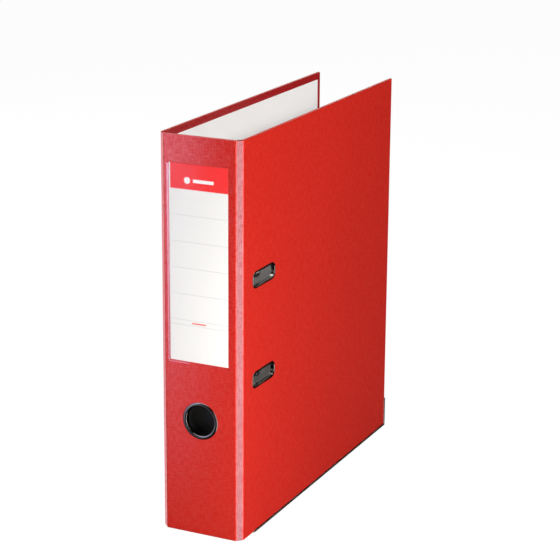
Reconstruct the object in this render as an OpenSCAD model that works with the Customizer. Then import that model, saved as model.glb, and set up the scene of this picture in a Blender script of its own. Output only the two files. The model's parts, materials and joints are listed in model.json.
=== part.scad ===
// Lever arch file, stood upright and closed.
// X runs across the covers, Y from the spine to the fore edge, Z up.
// The origin is the middle of the footprint, on the surface the file stands on.

/* [Case] */
// Width across the outside of the two covers
case_w = 70; // [69:0.5:74]
// Depth from the outside of the spine to the fore edge
case_d = 288; // [283:1:295]
// Height of the whole file
case_h = 318; // [314:1:322]
// Leg of the narrow folded strip at each corner of the spine
fold_leg = 5; // [4.4:0.1:5.6]
// Thickness of the greyboard
board_t = 1.8; // [1.6:0.1:1.9]
// Width of the film that is turned in over the board's edges
turn_in = 15; // [10:1:20]
// Width of the turned-in film that the lining leaves showing
bare_margin = 6; // [4:1:8]

/* [Openings] */
// Height of the middle between the two cover slots
slot_mid_z = 166.5; // [163:0.5:168]
// Distance from the outside of the spine to the middle of the slots
slot_v = 38.5; // [38:0.5:41]
// Outside length of a slot's rim
slot_l = 39; // [38:0.5:41]
// Outside height of a slot's rim
slot_h = 13.6; // [12.4:0.1:14]
// Height of the middle of the finger ring
ring_z = 95; // [88:1:98]
// Outside diameter of the finger ring
ring_od = 30; // [29:0.5:32]
// Clear diameter inside the finger ring
ring_id = 24; // [23:0.5:25]

/* [Label] */
// Width of the label card
card_w = 49.5; // [42:0.5:52]
// Height of the label card
card_h = 154.5; // [140:0.5:157]
// Height of the card's lower edge
card_z = 142; // [135:0.5:145]
// Sideways place of the card's middle
card_x = -0.5; // [-1.5:0.1:1.5]

/* [Mechanism] */
// Distance between the two posts, to suit punched paper
post_pitch = 80; // [79.5:0.5:80.5]
// Distance from the outside of the spine to the posts
post_v = 58; // [57.5:0.5:58.5]
// Height of the middle of the mechanism
mech_z = 166; // [163:0.5:167]
// Diameter of the arch wire
wire_d = 4; // [3.8:0.1:4]
// Length of the lever from its pivot
lever_l = 55; // [50:1:56]

/* [Hidden] */
$fn = 64;
film_t = 0.25;
shoe_t = 0.5;
shoe_lip = 1.5;
shoe_leg_h = 26;
shoe_gap = 18;
crease_gap = 0.3;

// Layers of a panel, counted inwards from its outside
board_in = film_t + board_t;
panel_t = board_in + 2 * film_t;
mitre_slope = tan(22.5);
mitre_gap = crease_gap / 2 / cos(22.5);
beyond = 3;

// The five panels in order round the case: start corner, heading and length
BACK = 0;
BACK_STRIP = 1;
SPINE = 2;
FRONT_STRIP = 3;
FRONT = 4;
half_w = case_w / 2;
half_d = case_d / 2;
cavity_u = case_w - 2 * panel_t;
CORNERS = [
    [-half_w, half_d],
    [-half_w, fold_leg - half_d],
    [fold_leg - half_w, -half_d],
    [half_w - fold_leg, -half_d],
    [half_w, fold_leg - half_d]
];
HEADINGS = [-90, -45, 0, 45, 90];
cover_l = case_d - fold_leg;
strip_l = fold_leg * sqrt(2);
LENGTHS = [cover_l, strip_l, case_w - 2 * fold_leg, strip_l, cover_l];

// Slots
slot_r = 5.8;
slot_rim = 1.5;
slot_rim_t = 0.7;
slot_wall = 0.4;
slot_back = 0.4;
slot_clear = 0.05;

// Finger ring and the blind cup behind it
ring_rim_t = 0.8;
ring_wall = 0.8;
ring_lip = 1.3;
ring_lip_t = 0.6;
ring_hole_r = ring_id / 2 + ring_wall + 0.05;
cup_flange_t = 0.8;
cup_flange_r = 18.5;
cup_r = 15.6;
cup_wall = 1;
cup_depth = 12.5;

// Label pocket, counted outwards from the spine
card_t = 0.25;
card_gap = 0.05;
pocket_rim = 2.2;
pocket_t = 0.5;
pocket_film_t = 0.15;
pocket_short = 0.8;
notch_r = 8.5;
notch_drop = 3.5;

// Mechanism, measured as [up from the back cover, from the spine, along the posts]
arm = post_pitch / 2;
plate_t = 1;
plate_v = [16, 69];
plate_half = 74;
plate_corner = 6;
foot_u = 4.2;
foot_v = 27;
wire_r = wire_d / 2;
arch_clear = 0.8;
top_u = cavity_u - wire_r - arch_clear;
// The bends are a trace thicker than the straights, which run a little way into them
bend_swell = 0.02;
bend_overlap = 0.05;
tip_u = 42;
tip_gap = 0.3;
crank_v = 39;
crank_from = -25;
crank_to = -6;
crank_rake = 4;
ARCH_BENDS = [8, 14, 7];
foot_bend = 3.2;
crank_bend = 2.6;
running_fit = 0.07;
lug_bore_r = wire_r + running_fit;
lug_r = 4;
LUGS = [-35.5, 4, 31.5];
lug_l = 4;

pivot_u = 14;
pivot_w = -18;
pivot_r = 1.75;
pin_head_t = 0.7;
pin_head_r = 2.7;
ear_t = 1.2;
ear_r = 4.2;
ear_gap = 0.4;
lever_v = [32, 46];
lever_t = 1.2;
lever_top = 4;
lever_nose_r = 3.7;
curl_r = 3.2;
curl_turn = 230;
roller_r = 4;
roller_bore_r = 1.58;
roller_pin_r = 1.5;
roller_ahead = 5.5;
roller_below = 3.5;
roller_seat_r = 3;
roller_v = [34, 44];

post_r = 2.5;
post_bore_r = 1.7;
post_bore_l = 12;
collar_r = 4.2;
collar_t = 1.2;

RIVET_V = [22, 63];
rivet_w = 67;
rivet_r = 1.8;
rivet_head_r = 4.2;
rivet_head_t = 0.7;
rivet_draft = 0.8;

spring_w = [-12.5, -6.5];
spring_t = 0.5;
spring_rivet_v = 51;
spring_rivet_r = 1.2;
spring_head_r = 2.2;
spring_head_t = 0.6;
spring_rise = 0.4;
spring_bend = 5;
spring_tail = 3;

bar_u = 2.8;
bar_v = [50, 70];
bar_t = 1.2;
bar_half = 53;
bar_flange = 3;
bar_corner = 3;
flange_short = 4;
bar_hole_r = 2.95;
latch_t = 0.8;
latch_half_v = 5;
latch_half = 50;
latch_travel = 2;
latch_play = 0.1;
latch_rivet_w = 20;
latch_rivet_r = 1.2;
latch_head_r = 2.6;
latch_head_t = 0.8;
latch_slack = 0.25;
latch_corner = 2;
latch_tab = 6;

// ---- helpers ----

function is_free_start(panel) = panel == BACK;
function is_free_end(panel) = panel == FRONT;
function mitre(t) = t * mitre_slope + mitre_gap;
function unit(v) = v / norm(v);

// Puts a panel's own frame in place: x along the panel, y inwards
module at_panel(panel) {
    translate(CORNERS[panel]) rotate(HEADINGS[panel]) children();
}

// A layer of a panel between two depths and two heights.
// A free edge is square, and a folded edge is mitred. The insets shorten each end.
module layer(panel, depths, heights, free_inset = 0, fold_inset = 0) {
    function start(t) = is_free_start(panel) ? free_inset : mitre(t) + fold_inset;
    function finish(t) = LENGTHS[panel] - (is_free_end(panel) ? free_inset : mitre(t) + fold_inset);
    translate([0, 0, heights[0]])
        linear_extrude(heights[1] - heights[0])
            polygon([
                [start(depths[0]), depths[0]],
                [finish(depths[0]), depths[0]],
                [finish(depths[1]), depths[1]],
                [start(depths[1]), depths[1]]
            ]);
}

module panel_board(panel) {
    at_panel(panel)
        layer(panel, [film_t, board_in], [shoe_t + film_t, case_h - film_t], film_t);
}

// Outer film with its edges turned over the board
module panel_skin(panel) {
    at_panel(panel) difference() {
        layer(panel, [0, board_in + film_t], [shoe_t, case_h]);
        layer(panel, [film_t, board_in], [shoe_t + film_t, case_h - film_t], film_t, -beyond);
        layer(panel, [board_in - film_t, panel_t + beyond],
            [shoe_t + turn_in, case_h - turn_in], turn_in, -beyond);
    }
}

// Paper lining over the board, stepped up over the turned-in film
module panel_lining(panel) {
    at_panel(panel) {
        layer(panel, [board_in, panel_t], [shoe_t + turn_in, case_h - turn_in], turn_in);
        layer(panel, [board_in + film_t, panel_t],
            [shoe_t + bare_margin, case_h - bare_margin], bare_margin);
    }
}

// Folded steel channel on a cover's lower edge, with a leg up the fore edge
module panel_shoe(panel) {
    free_at = is_free_start(panel) ? 0 : LENGTHS[panel];
    side = is_free_start(panel) ? 1 : -1;
    edge_t = board_in + film_t;
    run = LENGTHS[panel] - shoe_gap;
    at_panel(panel) difference() {
        translate([free_at, -shoe_t, 0]) scale_side(side) {
            translate([-shoe_t, 0, 0]) cube([run + shoe_t, edge_t + 2 * shoe_t, shoe_t + shoe_lip]);
            translate([-shoe_t, 0, 0]) cube([shoe_t + shoe_lip, edge_t + 2 * shoe_t, shoe_leg_h]);
        }
        layer(panel, [0, edge_t], [shoe_t, case_h]);
    }
}

module scale_side(side) {
    if (side > 0) children();
    else mirror([1, 0, 0]) children();
}

module rounded_rect(w, h, r) {
    square([w - 2 * r, h], center = true);
    square([w, h - 2 * r], center = true);
    for (x = [r - w / 2, w / 2 - r], y = [r - h / 2, h / 2 - r])
        translate([x, y]) circle(r);
}

// Frame at the outside of the spine, z pointing into the file
module on_spine(z) {
    translate([0, -half_d, z]) rotate([-90, 0, 0]) children();
}

// Frames at the two slots, z pointing into the file and x up
module at_slots() {
    for (side = [-1, 1])
        translate([half_w, slot_v - half_d, slot_mid_z + side * arm])
            rotate([0, -90, 0]) children();
}

// Frame of the mechanism: x up from the back cover, y from the spine, z along the posts
module on_back() {
    translate([panel_t - half_w, -half_d, mech_z]) children();
}

// Turns an outline in [from the spine, along the posts] into a plate that rises from the cover
module plate(t) {
    rotate([90, 0, 90]) linear_extrude(t) children();
}

// Turns an outline in [up, along the posts] into a plate that faces the spine
module upright(v_from, v_to) {
    translate([0, v_to, 0]) rotate([90, 0, 0]) linear_extrude(v_to - v_from) children();
}

// Shaft that runs away from the spine
module cross_pin(r, v_from, v_to) {
    translate([0, v_from, 0]) rotate([-90, 0, 0]) cylinder(h = v_to - v_from, r = r);
}

module rod(from, to, d) {
    run = to - from;
    translate(from)
        rotate([0, acos(run.z / norm(run)), atan2(run.y, run.x)])
            cylinder(h = norm(run), d = d);
}

// Wire through a list of corner points, each corner bent to its own radius
module bent_wire(points, radii, d) {
    last = len(points) - 1;
    function turn(i) = acos(unit(points[i] - points[i - 1]) * unit(points[i + 1] - points[i]));
    function trim(i) = (i == 0 || i == last) ? 0 : radii[i - 1] * tan(turn(i) / 2);
    for (i = [1:last]) {
        along = unit(points[i] - points[i - 1]);
        rod(points[i - 1] + along * (trim(i - 1) - bend_overlap),
            points[i] - along * (trim(i) - bend_overlap), d);
    }
    for (i = [1:last - 1]) {
        before = unit(points[i] - points[i - 1]);
        after = unit(points[i + 1] - points[i]);
        out = -unit(after - before * (after * before));
        axis = cross(out, before);
        middle = points[i] - before * trim(i) - out * radii[i - 1];
        multmatrix([
            [out.x, before.x, axis.x, middle.x],
            [out.y, before.y, axis.y, middle.y],
            [out.z, before.z, axis.z, middle.z],
            [0, 0, 0, 1]
        ])
            rotate_extrude(angle = turn(i)) translate([radii[i - 1], 0]) circle(d = d + bend_swell);
    }
}

// ---- openings cut through the panels ----

module finger_hole() {
    on_spine(ring_z) translate([0, 0, -1]) cylinder(h = panel_t + 2, r = ring_hole_r);
}

module slot_holes() {
    grow = 2 * (slot_wall + slot_clear - slot_rim);
    at_slots() translate([0, 0, -1]) linear_extrude(panel_t + 2)
        rounded_rect(slot_h + grow, slot_l + grow, slot_r + grow / 2);
}

module rivet_holes() {
    on_back() at_rivets() translate([-panel_t - 1, 0, 0]) rotate([0, 90, 0])
        cylinder(h = panel_t + plate_t + 2, r = rivet_r);
}

module at_rivets() {
    for (v = RIVET_V, w = [-rivet_w, rivet_w])
        translate([0, v, w]) children();
}

// ---- case ----

module back_board() {
    color("tan") difference() {
        panel_board(BACK);
        rivet_holes();
    }
}

module back_skin() {
    color("crimson") difference() {
        panel_skin(BACK);
        rivet_holes();
    }
}

module back_lining() {
    color("whitesmoke") difference() {
        panel_lining(BACK);
        rivet_holes();
    }
}

module back_shoe() {
    color("silver") panel_shoe(BACK);
}

module back_strip_board() {
    color("tan") panel_board(BACK_STRIP);
}

module back_strip_skin() {
    color("crimson") panel_skin(BACK_STRIP);
}

module back_strip_lining() {
    color("whitesmoke") panel_lining(BACK_STRIP);
}

module spine_board() {
    color("tan") difference() {
        panel_board(SPINE);
        finger_hole();
    }
}

module spine_skin() {
    color("crimson") difference() {
        panel_skin(SPINE);
        finger_hole();
    }
}

module spine_lining() {
    color("whitesmoke") difference() {
        panel_lining(SPINE);
        finger_hole();
    }
}

module front_strip_board() {
    color("tan") panel_board(FRONT_STRIP);
}

module front_strip_skin() {
    color("crimson") panel_skin(FRONT_STRIP);
}

module front_strip_lining() {
    color("whitesmoke") panel_lining(FRONT_STRIP);
}

module front_board() {
    color("tan") difference() {
        panel_board(FRONT);
        slot_holes();
    }
}

module front_skin() {
    color("red") difference() {
        panel_skin(FRONT);
        slot_holes();
    }
}

module front_lining() {
    color("whitesmoke") difference() {
        panel_lining(FRONT);
        slot_holes();
    }
}

module front_shoe() {
    color("silver") panel_shoe(FRONT);
}

// Pressed steel rims, each clinched over the inside of the cover
module slot_eyelets() {
    inner_h = slot_h - 2 * slot_rim;
    inner_l = slot_l - 2 * slot_rim;
    inner_r = slot_r - slot_rim;
    color("silver") at_slots() difference() {
        union() {
            translate([0, 0, -slot_rim_t]) linear_extrude(slot_rim_t)
                rounded_rect(slot_h, slot_l, slot_r);
            translate([0, 0, -slot_rim_t]) linear_extrude(panel_t + slot_rim_t + slot_back)
                rounded_rect(inner_h + 2 * slot_wall, inner_l + 2 * slot_wall, inner_r + slot_wall);
            translate([0, 0, panel_t]) linear_extrude(slot_back)
                rounded_rect(slot_h, slot_l, slot_r);
        }
        translate([0, 0, -slot_rim_t - 1]) linear_extrude(panel_t + slot_rim_t + slot_back + 2)
            rounded_rect(inner_h, inner_l, inner_r);
    }
}

// Half-round metal rim with a throat through the spine and a lip rolled out behind
module finger_ring() {
    rim_w = (ring_od - ring_id) / 2;
    sink = (rim_w * rim_w / 4 - ring_rim_t * ring_rim_t) / (2 * ring_rim_t);
    throat = panel_t + cup_flange_t;
    color("silver") on_spine(ring_z) rotate_extrude() {
        intersection() {
            translate([ring_id / 2 + rim_w / 2, sink]) circle(sink + ring_rim_t);
            translate([ring_id / 2, -ring_rim_t]) square([rim_w, ring_rim_t]);
        }
        translate([ring_id / 2, -ring_rim_t / 4])
            square([ring_wall, throat + ring_lip_t + ring_rim_t / 4]);
        translate([ring_id / 2, throat]) square([ring_wall + ring_lip, ring_lip_t]);
    }
}

// Black blind cup that closes the finger hole on the inside
module finger_cup() {
    color("black") on_spine(ring_z) translate([0, 0, panel_t]) rotate_extrude() {
        translate([ring_hole_r, 0]) square([cup_flange_r - ring_hole_r, cup_flange_t]);
        translate([cup_r - cup_wall, 0]) square([cup_wall, cup_depth]);
        translate([0, cup_depth - cup_wall]) square([cup_r, cup_wall]);
    }
}

// ---- label ----

module on_label() {
    translate([card_x, -half_d, card_z]) rotate([90, 0, 0]) children();
}

// Clear pocket welded to the spine on three sides, open at the top, with a thumb notch below
module label_pocket() {
    color([0.9, 0.9, 0.95, 0.4]) on_label() difference() {
        translate([-card_w / 2 - pocket_rim, -pocket_rim, 0])
            cube([card_w + 2 * pocket_rim, card_h + pocket_rim - pocket_short, pocket_t]);
        translate([-card_w / 2 - card_gap, -card_gap, -1])
            cube([card_w + 2 * card_gap, card_h + 1, pocket_t - pocket_film_t + 1]);
        translate([0, -notch_drop, -1]) cylinder(h = pocket_t + 2, r = notch_r);
    }
}

module label_card() {
    color("white") on_label() translate([-card_w / 2, 0, card_gap])
        cube([card_w, card_h, card_t]);
}

// ---- mechanism ----

// Steel plate with three lugs for the arch shaft and two ears for the lever
module base_plate() {
    plate_mid = (plate_v[0] + plate_v[1]) / 2;
    color("silver") on_back() difference() {
        union() {
            translate([0, plate_mid, 0]) plate(plate_t)
                rounded_rect(plate_v[1] - plate_v[0], 2 * plate_half, plate_corner);
            for (w = LUGS) plate_lug(w);
            for (v = [lever_v[0] - ear_t - ear_gap, lever_v[1] + ear_gap]) plate_ear(v);
        }
        translate([foot_u, foot_v, -arm]) cylinder(h = 2 * arm, r = lug_bore_r);
        translate([pivot_u, 0, pivot_w]) cross_pin(pivot_r, lever_v[0] - 4, lever_v[1] + 4);
        at_rivets() translate([-1, 0, 0]) rotate([0, 90, 0]) cylinder(h = plate_t + 2, r = rivet_r);
        translate([-1, spring_rivet_v, (spring_w[0] + spring_w[1]) / 2])
            rotate([0, 90, 0]) cylinder(h = plate_t + 2, r = spring_rivet_r);
        for (side = [-1, 1]) translate([-1, post_v, side * arm])
            rotate([0, 90, 0]) cylinder(h = plate_t + 2, r = post_r);
    }
}

module plate_lug(w) {
    translate([foot_u, foot_v, w]) cylinder(h = lug_l, r = lug_r);
    translate([0, foot_v - lug_r, w]) cube([foot_u, 2 * lug_r, lug_l]);
}

module plate_ear(v) {
    upright(v, v + ear_t) {
        translate([pivot_u, pivot_w]) circle(ear_r);
        translate([0, pivot_w - ear_r]) square([pivot_u, 2 * ear_r]);
    }
}

// Four rivets, with a flat head outside the back cover and another on the plate
module plate_rivets() {
    color("silver") on_back() at_rivets() rotate([0, 90, 0]) {
        translate([0, 0, -panel_t]) cylinder(h = panel_t + plate_t, r = rivet_r);
        translate([0, 0, -panel_t - rivet_head_t])
            cylinder(h = rivet_head_t, r1 = rivet_head_r - rivet_draft, r2 = rivet_head_r);
        translate([0, 0, plate_t])
            cylinder(h = rivet_head_t, r1 = rivet_head_r - rivet_draft, r2 = rivet_head_r - 2 * rivet_draft);
    }
}

// Everything outside the circle that the tip of an arch swings on
tip_reach = norm([tip_u - foot_u, post_v - foot_v]);
tip_angle = atan2(post_v - foot_v, tip_u - foot_u);

// Fixed tube that the paper hangs on, cut off square to the arch's swing
module post(side) {
    on_back() difference() {
        translate([0, post_v, side * arm]) rotate([0, 90, 0]) {
            cylinder(h = tip_u + 2 * post_r, r = post_r);
            translate([0, 0, plate_t]) cylinder(h = collar_t, r = collar_r);
        }
        translate([tip_u - post_bore_l, post_v, side * arm]) rotate([0, 90, 0])
            cylinder(h = post_bore_l + 3 * post_r, r = post_bore_r);
        translate([foot_u, foot_v, 0]) rotate(tip_angle)
            translate([tip_reach - tip_gap / 2, -arm, -2 * arm]) cube([arm, 2 * arm, 4 * arm]);
    }
}

module upper_post() {
    color("silver") post(1);
}

module lower_post() {
    color("silver") post(-1);
}

// Both arches, their shaft and the crank between them, bent from one wire
module arch_wire() {
    half_arch = [
        [tip_u - wire_r, post_v],
        [tip_u + 8, post_v],
        [top_u - 2.2, foot_v + 17],
        [top_u, foot_v + 5],
        [foot_u, foot_v]
    ];
    last = len(half_arch) - 1;
    points = concat(
        [for (p = half_arch) [p[0], p[1], -arm]],
        [
            [foot_u, foot_v, crank_from - crank_rake],
            [foot_u, crank_v, crank_from],
            [foot_u, crank_v, crank_to],
            [foot_u, foot_v, crank_to + crank_rake]
        ],
        [for (i = [last:-1:0]) [half_arch[i][0], half_arch[i][1], arm]]
    );
    radii = concat(ARCH_BENDS, [foot_bend], [for (i = [1:4]) crank_bend], [foot_bend],
        [for (i = [len(ARCH_BENDS) - 1:-1:0]) ARCH_BENDS[i]]);
    color("silver") on_back() difference() {
        bent_wire(points, radii, wire_d);
        translate([foot_u, foot_v, 0]) rotate(tip_angle)
            translate([tip_reach - arm / 2 + tip_gap / 2, -5, -2 * arm])
                cube([arm / 2, 10, 4 * arm]);
    }
}

// Spring leaf under the crank, at the shape it takes while the arches are shut
module arch_spring() {
    mid_w = (spring_w[0] + spring_w[1]) / 2;
    color("dimgray") on_back() difference() {
        translate([plate_t, 0, spring_w[0]]) linear_extrude(spring_w[1] - spring_w[0])
            polygon([
                [0, spring_rivet_v + spring_tail],
                [0, crank_v + spring_bend],
                [spring_rise, crank_v],
                [0, crank_v - spring_bend],
                [spring_t, crank_v - spring_bend],
                [spring_rise + spring_t, crank_v],
                [spring_t, crank_v + spring_bend],
                [spring_t, spring_rivet_v + spring_tail]
            ]);
        translate([0, spring_rivet_v, mid_w]) rotate([0, 90, 0])
            cylinder(h = plate_t + 2, r = spring_rivet_r);
    }
}

module spring_rivet() {
    mid_w = (spring_w[0] + spring_w[1]) / 2;
    color("silver") on_back() translate([0, spring_rivet_v, mid_w]) rotate([0, 90, 0]) {
        cylinder(h = plate_t + spring_t, r = spring_rivet_r);
        translate([0, 0, plate_t + spring_t])
            cylinder(h = spring_head_t, r1 = spring_head_r, r2 = spring_head_r - rivet_draft);
    }
}

// ---- lever ----

module lever_pin() {
    reach = [lever_v[0] - ear_t - ear_gap, lever_v[1] + ear_t + ear_gap];
    color("silver") on_back() translate([pivot_u, 0, pivot_w]) {
        cross_pin(pivot_r, reach[0] - pin_head_t, reach[1] + pin_head_t);
        cross_pin(pin_head_r, reach[0] - pin_head_t, reach[0]);
        cross_pin(pin_head_r, reach[1], reach[1] + pin_head_t);
    }
}

// Side of the lever, as an outline in [up, along the posts] from the pivot
module lever_side() {
    curl_w = lever_l - curl_r;
    circle(lever_nose_r);
    translate([-roller_below, roller_ahead]) circle(roller_seat_r);
    polygon([
        [-roller_below, roller_ahead + roller_seat_r],
        [-1, curl_w - 6],
        [lever_top - lever_t, curl_w],
        [lever_top, curl_w],
        [lever_top, -lever_nose_r],
        [0, -lever_nose_r],
        [-roller_below, roller_ahead - roller_seat_r]
    ]);
}

// Channel-shaped lever with a curled end for the thumb
module lever() {
    curl_w = lever_l - curl_r;
    color("silver") on_back() translate([pivot_u, 0, pivot_w]) difference() {
        union() {
            for (v = [lever_v[0], lever_v[1] - lever_t]) upright(v, v + lever_t) lever_side();
            translate([lever_top - lever_t, lever_v[0], -lever_nose_r])
                cube([lever_t, lever_v[1] - lever_v[0], curl_w + lever_nose_r]);
            translate([lever_top - curl_r, lever_v[0], curl_w]) rotate([-90, 0, 0])
                rotate_extrude(angle = -curl_turn)
                    translate([curl_r - lever_t, 0]) square([lever_t, lever_v[1] - lever_v[0]]);
        }
        cross_pin(pivot_r + running_fit, 0, post_v);
        translate([-roller_below, 0, roller_ahead]) cross_pin(roller_pin_r, 0, post_v);
    }
}

module at_roller() {
    on_back() translate([pivot_u - roller_below, 0, pivot_w + roller_ahead]) children();
}

module roller_pin() {
    color("silver") at_roller() cross_pin(roller_pin_r, lever_v[0], lever_v[1]);
}

module roller() {
    color("dimgray") at_roller() difference() {
        cross_pin(roller_r, roller_v[0], roller_v[1]);
        cross_pin(roller_bore_r, roller_v[0] - 1, roller_v[1] + 1);
    }
}

// ---- compressor ----

// Steel channel that slides on the posts and presses the paper
module compressor_bar() {
    mid_v = (bar_v[0] + bar_v[1]) / 2;
    color("silver") on_back() translate([bar_u, 0, 0]) difference() {
        union() {
            translate([0, mid_v, 0]) plate(bar_t) rounded_rect(bar_v[1] - bar_v[0], 2 * bar_half, bar_corner);
            for (v = [bar_v[0], bar_v[1] - bar_t])
                translate([0, v, flange_short - bar_half])
                    cube([bar_t + bar_flange, bar_t, 2 * (bar_half - flange_short)]);
        }
        for (side = [-1, 1]) translate([-1, post_v, side * arm]) rotate([0, 90, 0])
            cylinder(h = bar_t + 2, r = bar_hole_r);
        at_latch_rivets() translate([-1, 0, 0]) rotate([0, 90, 0])
            cylinder(h = bar_t + 2, r = latch_rivet_r);
    }
}

module at_latch_rivets() {
    for (side = [-1, 1]) translate([0, post_v, side * latch_rivet_w]) children();
}

module compressor_rivets() {
    seat = bar_t + latch_t + 2 * latch_play;
    color("silver") on_back() translate([bar_u, 0, 0]) at_latch_rivets() rotate([0, 90, 0]) {
        cylinder(h = seat, r = latch_rivet_r);
        translate([0, 0, seat])
            cylinder(h = latch_head_t, r1 = latch_head_r, r2 = latch_head_r - rivet_draft);
    }
}

// Round-ended slot, longer than it is wide by the latch's travel
module latch_slot(r) {
    translate([0, -latch_travel]) circle(r);
    circle(r);
    translate([-r, -latch_travel]) square([2 * r, latch_travel]);
}

// Locking slide on the bar, with a finger tab at its upper end
module compressor_latch() {
    color("dimgray") on_back() translate([bar_u + bar_t + latch_play, post_v, 0]) {
        plate(latch_t) difference() {
            rounded_rect(2 * latch_half_v, 2 * latch_half, latch_corner);
            for (w = [-arm, arm]) translate([0, w]) latch_slot(bar_hole_r);
            for (w = [-latch_rivet_w, latch_rivet_w])
                translate([0, w]) latch_slot(latch_rivet_r + latch_slack);
        }
        translate([0, latch_corner - latch_half_v, latch_half - latch_t])
            cube([latch_tab, 2 * (latch_half_v - latch_corner), latch_t]);
    }
}

back_board();
back_skin();
back_lining();
back_shoe();
back_strip_board();
back_strip_skin();
back_strip_lining();
spine_board();
spine_skin();
spine_lining();
finger_ring();
finger_cup();
label_pocket();
label_card();
front_strip_board();
front_strip_skin();
front_strip_lining();
front_board();
front_skin();
front_lining();
front_shoe();
slot_eyelets();
base_plate();
plate_rivets();
upper_post();
lower_post();
arch_spring();
spring_rivet();
arch_wire();
lever_pin();
lever();
roller_pin();
roller();
compressor_bar();
compressor_rivets();
compressor_latch();
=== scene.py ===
import json
import math

import bmesh
import bpy
from mathutils import Matrix, Vector

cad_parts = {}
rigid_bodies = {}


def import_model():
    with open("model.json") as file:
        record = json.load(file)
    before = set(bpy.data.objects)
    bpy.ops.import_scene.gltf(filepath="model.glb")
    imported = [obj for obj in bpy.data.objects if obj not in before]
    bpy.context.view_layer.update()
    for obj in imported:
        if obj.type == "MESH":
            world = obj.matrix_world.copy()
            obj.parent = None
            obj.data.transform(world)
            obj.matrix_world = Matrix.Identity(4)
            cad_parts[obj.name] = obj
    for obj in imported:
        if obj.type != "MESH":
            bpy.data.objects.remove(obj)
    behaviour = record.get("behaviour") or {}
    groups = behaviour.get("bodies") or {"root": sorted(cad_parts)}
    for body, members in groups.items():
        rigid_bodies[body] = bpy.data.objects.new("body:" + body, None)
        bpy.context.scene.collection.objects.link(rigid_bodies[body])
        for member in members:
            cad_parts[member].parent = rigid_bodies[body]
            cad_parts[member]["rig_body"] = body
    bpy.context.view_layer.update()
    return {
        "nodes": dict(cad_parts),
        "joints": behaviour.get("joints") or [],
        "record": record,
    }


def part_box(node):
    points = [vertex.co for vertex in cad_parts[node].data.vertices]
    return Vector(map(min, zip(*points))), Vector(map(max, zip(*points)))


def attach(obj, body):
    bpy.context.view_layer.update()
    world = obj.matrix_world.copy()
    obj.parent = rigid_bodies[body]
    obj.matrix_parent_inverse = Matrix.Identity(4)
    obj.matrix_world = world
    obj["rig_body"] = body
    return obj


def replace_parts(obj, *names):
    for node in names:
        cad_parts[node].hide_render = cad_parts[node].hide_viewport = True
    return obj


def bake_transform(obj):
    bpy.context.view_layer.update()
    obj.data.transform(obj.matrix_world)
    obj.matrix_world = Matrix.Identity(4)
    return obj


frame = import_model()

MM = 0.001

# ---- places read from the frame ----

JOINTS = {j["name"]: j for j in frame["joints"]}
SKIN_LOW, SKIN_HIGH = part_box("back_skin")
BOARD_LOW, BOARD_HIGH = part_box("back_board")
LINING_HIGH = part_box("back_lining")[1]
RIM_LOW, RIM_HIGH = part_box("slot_eyelets")
RING_LOW, RING_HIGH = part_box("finger_ring")
POCKET_LOW, POCKET_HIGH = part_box("label_pocket")
CARD_LOW, CARD_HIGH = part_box("label_card")

HALF_W = -SKIN_LOW.x
HALF_D = SKIN_HIGH.y
Z_LOW = SKIN_LOW.z
Z_HIGH = SKIN_HIGH.z
FILM_T = BOARD_LOW.x - SKIN_LOW.x
WRAP_T = BOARD_HIGH.x - SKIN_LOW.x + FILM_T
PANEL_T = LINING_HIGH.x - SKIN_LOW.x


def corner_of(joint):
    x, y, _ = JOINTS[joint]["pos_m"]
    return Vector((x, y, 0))


CORNERS = [
    Vector((-HALF_W, HALF_D, 0)),
    corner_of("back_crease"),
    corner_of("spine_back_crease"),
    corner_of("front_crease"),
    corner_of("cover_crease"),
    Vector((HALF_W, HALF_D, 0)),
]
CREASES = ["back", "spine_back", "spine_front", "front"]

# ---- the film round the boards ----

TURN_IN = 15 * MM
BARE_MARGIN = 6 * MM
EDGE_R = 0.9 * MM
SUPPORT = 0.3 * MM
CORNER_R = 1.6 * MM
ARC_STEPS = 6
CREASE_REACH = 1.4 * MM
CREASE_R = 2.0 * MM
CREASE_INNER_R = 0.5 * MM
CREASE_TURN = math.radians(45)
FILM_SHEET_T = 0.22 * MM
HINGE_REACH = 2.3 * MM
HINGE_R = 0.4 * MM
HINGE_T = 0.1 * MM


# ---- mesh helpers ----

MERGE_WITHIN = 1e-6
CUT_CLEAR = 0.05 * MM
CUT_DEPTHS = (-2 * MM, 5 * MM)


def grid_faces(rows, columns, loop_rows=False, loop_columns=False):
    """Quads between neighbouring rows of a grid of vertices."""
    faces = []
    for i in range(rows if loop_rows else rows - 1):
        for j in range(columns if loop_columns else columns - 1):
            k = (i + 1) % rows
            m = (j + 1) % columns
            faces.append((i * columns + j, i * columns + m, k * columns + m, k * columns + j))
    return faces


def new_piece(name, points, faces, finish, body=None):
    """A mesh piece with a finish from MATERIALS."""
    mesh = bpy.data.meshes.new(name)
    mesh.from_pydata([tuple(p) for p in points], [], faces)
    mesh.update()
    piece = bpy.data.objects.new(name, mesh)
    bpy.context.scene.collection.objects.link(piece)
    mesh.materials.append(MATERIALS[finish])
    if body:
        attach(piece, body)
    return piece


def modify(piece, kind, **settings):
    modifier = piece.modifiers.new(kind.title(), kind)
    for key, value in settings.items():
        setattr(modifier, key, value)


def shade_margin(piece, depth_of):
    """Gives the faces that lie on the inside of the file the darker turned-in film's material, a
    painted shade for the inside of the file.
    """
    piece.data.materials.append(MATERIALS["painted_shade_turned_in_film"])
    for polygon in piece.data.polygons:
        if depth_of(polygon.center) > WRAP_T - FILM_T:
            polygon.material_index = 1


def apply_modifiers(piece):
    graph = bpy.context.evaluated_depsgraph_get()
    before = piece.data
    piece.data = bpy.data.meshes.new_from_object(piece.evaluated_get(graph))
    piece.modifiers.clear()
    piece.data.name = piece.name
    bpy.data.meshes.remove(before)


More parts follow.
